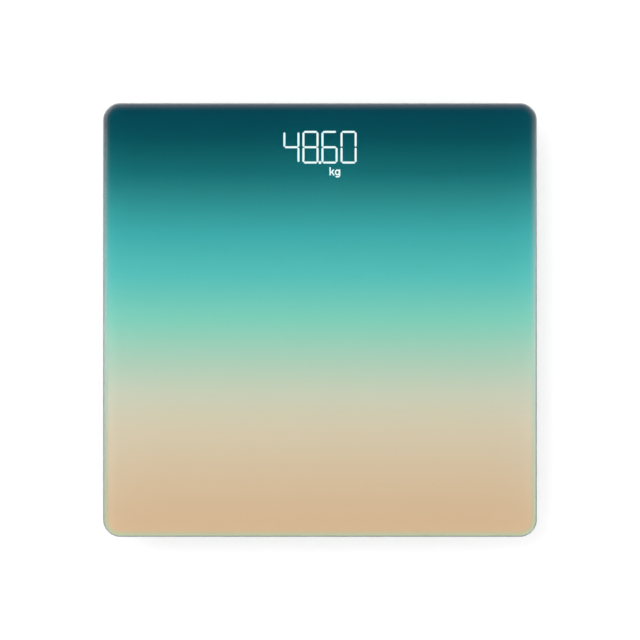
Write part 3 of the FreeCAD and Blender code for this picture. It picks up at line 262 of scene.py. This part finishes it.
def clear_glass():
    """Toughened float glass: clear through its face, green along its edge. Shadows pass through it."""
    finish = Finish("float_glass", (1, 1, 1, 1), 0.0, IOR=1.5)
    finish.set("Transmission Weight", 1.0)
    finish.ramp(finish.noise(60, 3), [(0.3, 0.0), (0.8, 0.015)], "Roughness")
    shadow = finish.add("ShaderNodeBsdfTransparent")
    path = finish.add("ShaderNodeLightPath")
    mix = finish.add("ShaderNodeMixShader")
    finish.feed(path.outputs["Is Shadow Ray"], mix.inputs[0])
    finish.feed(finish.shader.outputs[0], mix.inputs[1])
    finish.feed(shadow.outputs[0], mix.inputs[2])
    finish.feed(mix.outputs[0], finish.output.inputs["Surface"])
    depth = finish.add("ShaderNodeVolumeAbsorption")
    depth.inputs["Color"].default_value = (0.70, 0.92, 0.86, 1)
    depth.inputs["Density"].default_value = 10.0
    finish.feed(depth.outputs[0], finish.output.inputs["Volume"])
    return finish.material


def battery_case(name):
    """A plain printed sleeve with a paler band, and bare steel at both ends, along X."""
    finish = Finish(name, (0.03, 0.035, 0.045, 1), 0.25)
    split = finish.add("ShaderNodeSeparateXYZ")
    finish.feed(finish.place(), split.inputs[0])
    half_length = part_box("battery_1")[1][0]
    along = finish.math("DIVIDE", split.outputs[0], half_length)
    from_middle = finish.math("ABSOLUTE", along)
    bare = finish.ramp(from_middle, [(0.945, 0.0), (0.955, 1.0)])
    finish.feed(bare, finish.shader.inputs["Metallic"])
    half_way = finish.math("ADD", finish.math("MULTIPLY", along, 0.5), 0.5)
    sleeve = [
        (0.0, (0.62, 0.61, 0.58, 1)), (0.026, (0.03, 0.035, 0.045, 1)), (0.66, (0.30, 0.31, 0.33, 1)),
        (0.70, (0.03, 0.035, 0.045, 1)), (0.974, (0.62, 0.61, 0.58, 1)),
    ]
    band = finish.ramp(half_way, sleeve, "Base Color")
    band.node.color_ramp.interpolation = "CONSTANT"
    finish.ramp(finish.noise(500, 3), [(0.3, 0.2), (0.7, 0.32)], "Roughness")
    finish.bump(finish.noise(900, 2), 0.00001)
    return finish.material


def solder_mask(name):
    """Green mask over copper tracks, with the tracks a shade paler and slightly raised."""
    finish = Finish(name, (0.01, 0.14, 0.06, 1), 0.3)
    tracks = finish.add("ShaderNodeTexBrick")
    tracks.offset = 0.37
    for socket, level in (
        ("Scale", 130.0), ("Mortar Size", 0.035), ("Brick Width", 1.3), ("Row Height", 0.28),
    ):
        tracks.inputs[socket].default_value = level
    finish.feed(finish.place(), tracks.inputs["Vector"])
    finish.ramp(
        tracks.outputs["Fac"], [(0.1, (0.008, 0.12, 0.05, 1)), (0.8, (0.03, 0.26, 0.12, 1))], "Base Color"
    )
    finish.ramp(finish.noise(300, 3), [(0.3, 0.25), (0.7, 0.38)], "Roughness")
    finish.bump(tracks.outputs["Fac"], 0.00004)
    return finish.material


def lit(name, colour, strength, body=(0.03, 0.03, 0.03, 1)):
    """A light guide or chip that glows evenly, a little brighter and dimmer from place to place."""
    finish = Finish(name, body, 0.4)
    dim = tuple(level * 0.93 for level in colour[:3]) + (1,)
    finish.ramp(finish.noise(400, 2), [(0.35, dim), (0.6, colour)], "Emission Color")
    finish.set("Emission Strength", strength)
    return finish.material


# ---- Glass plate ----


def outline(inset, height, steps=16):
    """Points round the plate's rounded outline, that far inside it."""
    radius = max(CORNER - inset, 0.0005)
    middle = HALF - inset - radius
    points = []
    for quarter, (sx, sy) in enumerate([(1, 1), (-1, 1), (-1, -1), (1, -1)]):
        for step in range(steps + 1):
            angle = (quarter + step / steps) * math.pi / 2
            points.append(
                Vector((
                    sx * middle + radius * math.cos(angle),
                    sy * middle + radius * math.sin(angle),
                    height,
                ))
            )
    return points


def finish_piece(name, mesh_maker, materials, body="platform", smooth=True):
    """A new piece from a bmesh, riding on a body."""
    mesh = bpy.data.meshes.new(name)
    mesh_maker.to_mesh(mesh)
    mesh_maker.free()
    for material in materials:
        mesh.materials.append(material)
    for face in mesh.polygons:
        face.use_smooth = smooth
    piece = bpy.data.objects.new(name, mesh)
    bpy.context.scene.collection.objects.link(piece)
    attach(piece, body)
    return piece


def make_glass(glass, gradient):
    """The plate as rings from the middle of its underside, round its edge, to its polished face."""
    low, high = PRINT_HEIGHT, TOP
    profile = [(PRINT_INSET, low)]
    for step in range(7):
        angle = step / 6 * math.pi / 2
        profile.append((
            UNDER_ROUND * (1 - math.sin(angle)), low + UNDER_ROUND * (1 - math.cos(angle))
        ))
    for step in range(17):
        angle = step / 16 * math.pi / 2
        profile.append((
            TOP_ROUND * (1 - math.cos(angle)), high - TOP_ROUND * (1 - math.sin(angle))
        ))
    profile.append((TOP_ROUND + 0.6 * MM, high))
    shape = bmesh.new()
    rings = [[shape.verts.new(p) for p in outline(*stop)] for stop in profile]
    count = len(rings[0])
    for lower, upper in zip(rings, rings[1:]):
        for i in range(count):
            j = (i + 1) % count
            shape.faces.new((lower[i], lower[j], upper[j], upper[i]))
    shape.faces.new(rings[-1])
    under = shape.faces.new(list(reversed(rings[0])))
    under.material_index = 1
    piece = finish_piece("glass_plate", shape, [glass, gradient])
    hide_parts("platform_glass")
    return piece


# ---- Lit reading ----

DIGIT_PITCH = 12.3 * MM
DIGIT_WIDTH = 9.1 * MM
DIGIT_HEIGHT = 19.8 * MM
GUIDE_WIDTH = 1.65 * MM
STROKE = 1.3 * MM
DOT_RADIUS = 0.95 * MM
BAR_GAP = 0.35 * MM
READING = {0: "bcfg", 1: "abcdefg", 2: "acdefg", 3: "abcdef"}
BARS = {
    "a": (0, 0.5, False), "g": (0, 0, False), "d": (0, -0.5, False),
    "f": (-0.5, 0.25, True), "b": (0.5, 0.25, True),
    "e": (-0.5, -0.25, True), "c": (0.5, -0.25, True),
}
READING_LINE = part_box("display_segments")[1][1] - GUIDE_WIDTH / 2 - DIGIT_HEIGHT / 2
LIT_LOW = PRINT_HEIGHT + 0.03 * MM
LIT_HIGH = LIT_LOW + 0.05 * MM


def extruded(shape, points):
    """A thin plate with that outline, closed all round."""
    low = [shape.verts.new((x, y, LIT_LOW)) for x, y in points]
    high = [shape.verts.new((x, y, LIT_HIGH)) for x, y in points]
    shape.faces.new(high)
    shape.faces.new(list(reversed(low)))
    for i in range(len(points)):
        j = (i + 1) % len(points)
        shape.faces.new((low[i], low[j], high[j], high[i]))


def bar_outline(x, y, length, upright):
    """A bar with pointed ends, which meet the next bar's across a mitre."""
    half, side = length / 2, STROKE / 2
    points = [
        (half, 0), (half - side, side), (-half + side, side),
        (-half, 0), (-half + side, -side), (half - side, -side),
    ]
    if upright:
        points = [(-b, a) for a, b in points]
    return [(x + a, y + b) for a, b in points]


def make_reading(material):
    shape = bmesh.new()
    for number, bars in READING.items():
        middle = (number - 1.5) * DIGIT_PITCH
        for name in bars:
            x, y, upright = BARS[name]
            full = DIGIT_HEIGHT / 2 if upright else DIGIT_WIDTH
            extruded(shape, bar_outline(
                middle + x * DIGIT_WIDTH, READING_LINE + y * DIGIT_HEIGHT, full - BAR_GAP, upright
            ))
    dot_x, dot_y = 0.0, READING_LINE - DIGIT_HEIGHT / 2
    extruded(shape, [
        (dot_x + DOT_RADIUS * math.cos(a * math.pi / 12), dot_y + DOT_RADIUS * math.sin(a * math.pi / 12))
        for a in range(24)
    ])
    piece = finish_piece("lit_reading", shape, [material], smooth=False)
    return piece


# Unit sign, over its own light guide: that guide is the lowest part of the display's node.
SEGMENTS = NODES["display_segments"]
GUIDE_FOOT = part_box("display_segments")[0][1]
GUIDE_POINTS = [SEGMENTS.matrix_world @ corner.co for corner in SEGMENTS.data.vertices]
GUIDE_ACROSS = [point.x for point in GUIDE_POINTS if point.y < GUIDE_FOOT + MM]
SIGN_WIDTH = 7.1 * MM
SIGN_RISE = 2.2 * MM
SIGN_LEFT = (min(GUIDE_ACROSS) + max(GUIDE_ACROSS) - SIGN_WIDTH) / 2
SIGN_BASE = GUIDE_FOOT + SIGN_RISE
SIGN_STROKE = 0.86 * MM


def arc(middle_x, middle_y, across, up, first, last, steps):
    """Points along part of an ellipse, from the first angle to the last, in degrees."""
    angles = [math.radians(first + (last - first) * i / steps) for i in range(steps + 1)]
    return [(middle_x + across * math.cos(a), middle_y + up * math.sin(a)) for a in angles]


# The letters' centre lines, in millimetres from the sign's left end on its base line.
SIGN_LINES = [
    [(0.5, 0.0), (0.5, 5.3)],
    [(0.9, 1.6), (2.85, 3.75)],
    [(1.55, 2.3), (3.05, 0.0)],
    arc(5.2, 1.95, 1.25, 1.5, 0, 360, 28),
    [(6.6, 3.9), (6.6, 0.1)] + arc(5.25, 0.1, 1.35, 1.05, -15, -150, 12),
]


def ribbon(shape, points):
    """A flat strip of the sign's stroke width along a line, closed all round."""
    looped = math.dist(points[0], points[-1]) < 0.001 * MM
    if looped:
        points = points[:-1]
    count = len(points)
    rows = []
    for i, (x, y) in enumerate(points):
        before = points[i - 1] if looped or i else points[0]
        after = points[(i + 1) % count] if looped or i < count - 1 else points[-1]
        along = Vector((after[0] - before[0], after[1] - before[1])).normalized()
        side = Vector((-along.y, along.x)) * SIGN_STROKE / 2
        corners = (
            (x - side.x, y - side.y, LIT_LOW), (x + side.x, y + side.y, LIT_LOW),
            (x + side.x, y + side.y, LIT_HIGH), (x - side.x, y - side.y, LIT_HIGH),
        )
        rows.append([shape.verts.new(corner) for corner in corners])
    for i in range(count if looped else count - 1):
        here, beyond = rows[i], rows[(i + 1) % count]
        for k in range(4):
            m = (k + 1) % 4
            shape.faces.new((here[k], here[m], beyond[m], beyond[k]))
    if not looped:
        shape.faces.new(list(reversed(rows[0])))
        shape.faces.new(rows[-1])


def make_unit_sign(material):
    """The small unit sign under the reading, in plain round letters."""
    shape = bmesh.new()
    for line in SIGN_LINES:
        ribbon(shape, [(SIGN_LEFT + x * MM, SIGN_BASE + y * MM) for x, y in line])
    bmesh.ops.recalc_face_normals(shape, faces=shape.faces)
    piece = finish_piece("lit_unit_sign", shape, [material], smooth=False)


# ---- Battery door's grip ----


def ridge_tree():
    """Geometry Nodes: a row of long rounded ridges."""
    tree = bpy.data.node_groups.new("grip_ridges", "GeometryNodeTree")
    tree.interface.new_socket("Geometry", in_out="OUTPUT", socket_type="NodeSocketGeometry")
    for name, kind in (
        ("Ridges", "NodeSocketInt"), ("First", "NodeSocketVector"), ("Step", "NodeSocketVector"),
        ("Size", "NodeSocketVector"), ("Plastic", "NodeSocketMaterial"),
    ):
        tree.interface.new_socket(name, in_out="INPUT", socket_type=kind)
    sizes = tree.nodes.new("NodeGroupInput").outputs
    row = tree.nodes.new("GeometryNodeMeshLine")
    row.mode = "OFFSET"
    tree.links.new(sizes["Ridges"], row.inputs["Count"])
    tree.links.new(sizes["First"], row.inputs["Start Location"])
    tree.links.new(sizes["Step"], row.inputs["Offset"])
    ball = tree.nodes.new("GeometryNodeMeshUVSphere")
    ball.inputs["Segments"].default_value = 24
    ball.inputs["Rings"].default_value = 12
    ball.inputs["Radius"].default_value = 0.5
    stretch = tree.nodes.new("GeometryNodeTransform")
    tree.links.new(ball.outputs["Mesh"], stretch.inputs["Geometry"])
    tree.links.new(sizes["Size"], stretch.inputs["Scale"])
    copies = tree.nodes.new("GeometryNodeInstanceOnPoints")
    tree.links.new(row.outputs["Mesh"], copies.inputs["Points"])
    tree.links.new(stretch.outputs["Geometry"], copies.inputs["Instance"])
    solid = tree.nodes.new("GeometryNodeRealizeInstances")
    tree.links.new(copies.outputs["Instances"], solid.inputs["Geometry"])
    smooth = tree.nodes.new("GeometryNodeSetShadeSmooth")
    tree.links.new(solid.outputs["Geometry"], smooth.inputs["Geometry"])
    finish = tree.nodes.new("GeometryNodeSetMaterial")
    tree.links.new(smooth.outputs["Geometry"], finish.inputs["Geometry"])
    tree.links.new(sizes["Plastic"], finish.inputs["Material"])
    result = tree.nodes.new("NodeGroupOutput")
    tree.links.new(finish.outputs["Geometry"], result.inputs["Geometry"])
    return tree


def grown(name, tree, **inputs):
    """The plain mesh that a Geometry Nodes tree makes with these inputs."""
    holder = bpy.data.objects.new(name, bpy.data.meshes.new(name + "_holder"))
    bpy.context.scene.collection.objects.link(holder)
    modifier = holder.modifiers.new(name, "NODES")
    modifier.node_group = tree
    sockets = {
        item.name: item.identifier
        for item in tree.interface.items_tree
        if getattr(item, "in_out", "") == "INPUT"
    }
    for label, level in inputs.items():
        modifier[sockets[label]] = level
    depsgraph = bpy.context.evaluated_depsgraph_get()
    mesh = bpy.data.meshes.new_from_object(holder.evaluated_get(depsgraph))
    holder.modifiers.clear()
    holder.data = mesh
    return holder


GRIP_RIDGES = 5
GRIP_START = 7.5 * MM
GRIP_PITCH = 1.9 * MM
RIDGE_SIZE = (16 * MM, 1.1 * MM, 0.9 * MM)


def make_door_grip(plastic):
    """Ridges on the door's outside, beside its latch, half sunk into the face."""
    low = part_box("battery_door")[0]
    piece = grown(
        "battery_door_grip", ridge_tree(), Ridges=GRIP_RIDGES,
        First=(0.0, low[1] + GRIP_START, low[2]), Step=(0.0, GRIP_PITCH, 0.0),
        Size=RIDGE_SIZE, Plastic=plastic,
    )
    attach(piece, "battery_door")


# ---- Assembly ----


def coat(material, *names):
    for name in names:
        piece = NODES[name]
        piece.data.materials.clear()
        piece.data.materials.append(material)


make_glass(clear_glass(), back_print())
white_light = lit("lit_segment", (0.80, 1.0, 1.0, 1), 1.05)
make_reading(white_light)
make_unit_sign(white_light)

shell = moulded_plastic("tray_white_plastic", (0.80, 0.81, 0.81, 1))
coat(shell, "base_tray", "battery_door")
make_door_grip(shell)
coat(moulded_plastic("foot_white_plastic", (0.74, 0.75, 0.75, 1), 0.4), *(f"foot_{c}" for c in CORNERS))
coat(rubber("foot_pad_rubber", (0.10, 0.10, 0.105, 1)), *(f"foot_pad_{c}" for c in CORNERS))
bracket_plastic = moulded_plastic("bracket_grey_plastic", (0.10, 0.10, 0.11, 1))
coat(bracket_plastic, *(f"cell_bracket_{c}" for c in CORNERS))
cell_steel = plated_metal("cell_steel", (0.60, 0.60, 0.61, 1), 0.35, (1, 12, 1))
coat(cell_steel, *(f"load_cell_{c}" for c in CORNERS))
coat(plated_metal("screw_zinc", (0.62, 0.62, 0.60, 1), 0.3), "bracket_screws", "board_screws")
coat(plated_metal("contact_nickel", (0.72, 0.71, 0.68, 1), 0.2),
     "contact_plate_positive", "contact_spring_negative", "contact_bridge")
coat(rubber("seal_silicone", (0.75, 0.75, 0.73, 1), 0.4), "gauge_seals")
coat(foam("rim_foam_tape", (0.75, 0.75, 0.73, 1)), "rim_tape", "support_tapes")
coat(foam("black_foam", (0.03, 0.03, 0.03, 1)), "display_gasket", "battery_door_pad")
coat(moulded_plastic("film_backing", (0.16, 0.18, 0.19, 1), 0.3, 900), "printed_film")
coat(solder_mask("board_mask"), "circuit_board")
coat(moulded_plastic("chip_epoxy", (0.02, 0.02, 0.022, 1), 0.5), "controller_chip", "board_components")
coat(moulded_plastic("reflector_white", (0.82, 0.82, 0.82, 1), 0.5), "display_reflector", "display_diffuser")
coat(lit("light_guide", (1, 1, 1, 1), 0.4, (0.8, 0.8, 0.8, 1)), "display_segments")
coat(lit("led_phosphor", (1, 0.95, 0.7, 1), 0.4, (0.8, 0.7, 0.4, 1)), "led_chips")
coat(moulded_plastic("switch_black", (0.025, 0.025, 0.027, 1), 0.45), "unit_switch", "unit_switch_plunger")
coat(moulded_plastic("button_grey", (0.25, 0.27, 0.29, 1), 0.4), "unit_button")
coat(battery_case("battery_sleeve"), "battery_1", "battery_2")
coat(rubber("lead_red_sleeve", (0.5, 0.02, 0.02, 1), 0.4), "battery_lead_red")
coat(rubber("lead_black_sleeve", (0.02, 0.02, 0.02, 1), 0.4), "battery_lead_black")
coat(rubber("cell_lead_sleeve", (0.65, 0.62, 0.6, 1), 0.4), *(f"cell_lead_{c}" for c in CORNERS))


# ---- Floor, light and camera ----


FLOOR_DROP = -0.05 * MM
FLOOR_GLOW = 0.30


def make_floor():
    """Pale paper that keeps the object's shadow; from underneath it is clear."""
    shape = bmesh.new()
    bmesh.ops.create_grid(shape, x_segments=1, y_segments=1, size=6.0)
    bmesh.ops.translate(shape, verts=shape.verts, vec=(0, 0, FLOOR_DROP))
    mesh = bpy.data.meshes.new("studio_floor")
    shape.to_mesh(mesh)
    shape.free()
    floor = bpy.data.objects.new("studio_floor", mesh)
    bpy.context.scene.collection.objects.link(floor)
    finish = Finish("floor_paper", (0.9, 0.9, 0.9, 1), 0.9)
    finish.set("Specular IOR Level", 0.0)
    path = finish.add("ShaderNodeLightPath")
    seen = finish.math("MAXIMUM", path.outputs["Is Camera Ray"], path.outputs["Is Glossy Ray"])
    seen = finish.math("MAXIMUM", seen, path.outputs["Is Transmission Ray"])
    finish.set("Emission Color", (1, 1, 1, 1))
    finish.feed(finish.math("MULTIPLY", seen, FLOOR_GLOW), finish.shader.inputs["Emission Strength"])
    clear = finish.add("ShaderNodeBsdfTransparent")
    below = finish.add("ShaderNodeNewGeometry").outputs["Backfacing"]
    mix = finish.add("ShaderNodeMixShader")
    finish.feed(below, mix.inputs[0])
    finish.feed(finish.shader.outputs[0], mix.inputs[1])
    finish.feed(clear.outputs[0], mix.inputs[2])
    finish.feed(mix.outputs[0], finish.output.inputs["Surface"])
    mesh.materials.append(finish.material)
    return floor


# Sky brightness by height, from the horizon (0) to overhead (1). A dark flag hangs straight
# overhead, and what the gloss mirrors is darker than what lights the object.
SKY_LIGHT = [(0.90, 0.8), (0.975, 0.0)]
SKY_MIRRORED = [(0.05, 1.0), (0.18, 0.62), (0.45, 0.42), (0.85, 0.30), (0.95, 0.0)]


def make_world():
    """Even studio light all round, with a dark flag straight overhead so that the plate shows its print."""
    world = bpy.data.worlds.new("studio")
    bpy.context.scene.world = world
    world.use_nodes = True
    nodes, links = world.node_tree.nodes, world.node_tree.links
    place = nodes.new("ShaderNodeTexCoord")
    split = nodes.new("ShaderNodeSeparateXYZ")
    links.new(place.outputs["Generated"], split.inputs[0])
    path = nodes.new("ShaderNodeLightPath")

    def sky(stops):
        band = nodes.new("ShaderNodeValToRGB")
        while len(band.color_ramp.elements) < len(stops):
            band.color_ramp.elements.new(0.5)
        for element, (position, level) in zip(band.color_ramp.elements, stops):
            element.position = position
            element.color = (level, level, level, 1)
        links.new(split.outputs[2], band.inputs["Fac"])
        shader = nodes.new("ShaderNodeBackground")
        links.new(band.outputs["Color"], shader.inputs["Color"])
        return shader.outputs[0]

    def choose(factor, otherwise, chosen):
        mix = nodes.new("ShaderNodeMixShader")
        links.new(factor, mix.inputs[0])
        links.new(otherwise, mix.inputs[1])
        links.new(chosen, mix.inputs[2])
        return mix.outputs[0]

    white = nodes["Background"]
    white.inputs["Color"].default_value = (1, 1, 1, 1)
    white.inputs["Strength"].default_value = 1.0
    mirrored = nodes.new("ShaderNodeMath")
    mirrored.operation = "SUBTRACT"
    mirrored.use_clamp = True
    links.new(path.outputs["Is Glossy Ray"], mirrored.inputs[0])
    links.new(path.outputs["Is Transmission Ray"], mirrored.inputs[1])
    studio = choose(mirrored.outputs[0], sky(SKY_LIGHT), sky(SKY_MIRRORED))
    shown = choose(path.outputs["Is Camera Ray"], studio, white.outputs[0])
    links.new(shown, nodes["World Output"].inputs["Surface"])


def make_lamp(name, place, size, power):
    data = bpy.data.lights.new(name, "AREA")
    data.energy = power
    data.size = size
    lamp = bpy.data.objects.new(name, data)
    lamp.location = place
    lamp.rotation_euler = (-Vector(place)).to_track_quat("-Z", "Y").to_euler()
    bpy.context.scene.collection.objects.link(lamp)


LENS = 200.0
SENSOR = 36.0
VIEW_WIDTH = 0.413


def make_camera():
    data = bpy.data.cameras.new("overhead_camera")
    data.lens = LENS
    data.sensor_width = SENSOR
    data.clip_end = 20
    camera = bpy.data.objects.new("overhead_camera", data)
    edge_height = TOP - TOP_ROUND
    camera.location = (0.0, 0.0, edge_height + VIEW_WIDTH * LENS / SENSOR)
    bpy.context.scene.collection.objects.link(camera)
    bpy.context.scene.camera = camera


make_floor()
make_world()
make_lamp("key_lamp", (-1.6, 1.3, 1.9), 2.4, 26)
make_lamp("fill_lamp", (1.9, -1.2, 1.5), 2.4, 12)
make_camera()
bpy.context.scene.view_settings.view_transform = "Standard"
